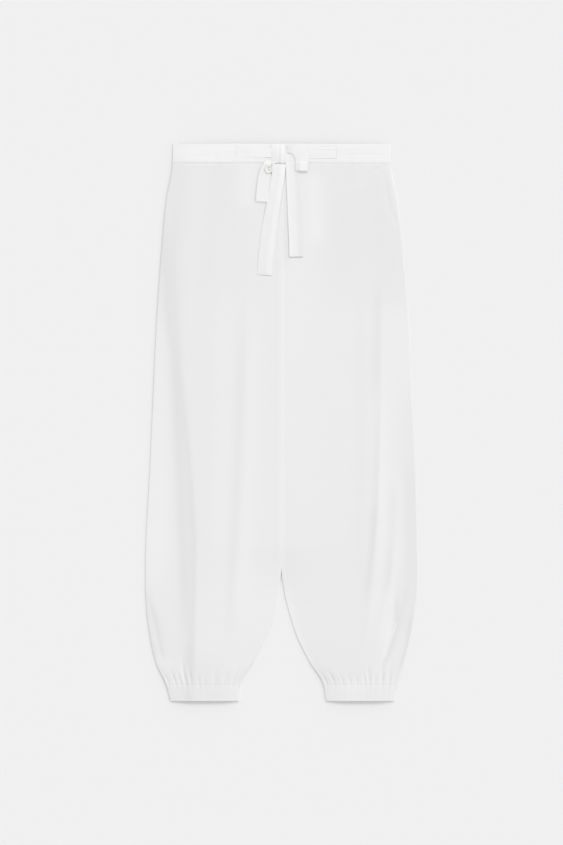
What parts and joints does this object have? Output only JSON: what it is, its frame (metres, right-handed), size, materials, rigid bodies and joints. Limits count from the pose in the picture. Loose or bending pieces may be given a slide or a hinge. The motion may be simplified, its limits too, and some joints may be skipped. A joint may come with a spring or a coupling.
{
  "type": "balloon pants",
  "caption": "Long balloon trousers laid flat, with full legs gathered into narrow cuffs, a plain waistband, a self-fabric tie in a bow and a small button.",
  "frame": {"origin": "middle of the underside of the laid-out garment", "axes": "+Y up the garment to the waist, +Z out of its front, +X towards the wearer's left leg"},
  "size_m": [0.504, 1.03, 0.0166],
  "materials": {
    "cloth": "thin plain-weave off-white cloth, matt with a faint sheen",
    "band_cloth": "the same cloth doubled, smooth and a little brighter",
    "tie_cloth": "the same cloth folded into a flat sewn ribbon",
    "button": "ivory pearl button with two holes"
  },
  "bodies": {
    "root": {"front_right": "cloth", "front_left": "cloth", "back_right": "cloth", "back_left": "cloth", "waistband_front": "band_cloth", "waistband_back": "band_cloth", "cuff_right": "band_cloth", "cuff_left": "band_cloth", "tie_run_right": "tie_cloth", "tie_run_left": "tie_cloth", "tie_knot": "tie_cloth", "tie_loop_right": "tie_cloth", "tie_loop_left": "tie_cloth", "tie_tail_right": "tie_cloth", "tie_tail_left": "tie_cloth", "button": "button"}
  },
  "joints": []
}
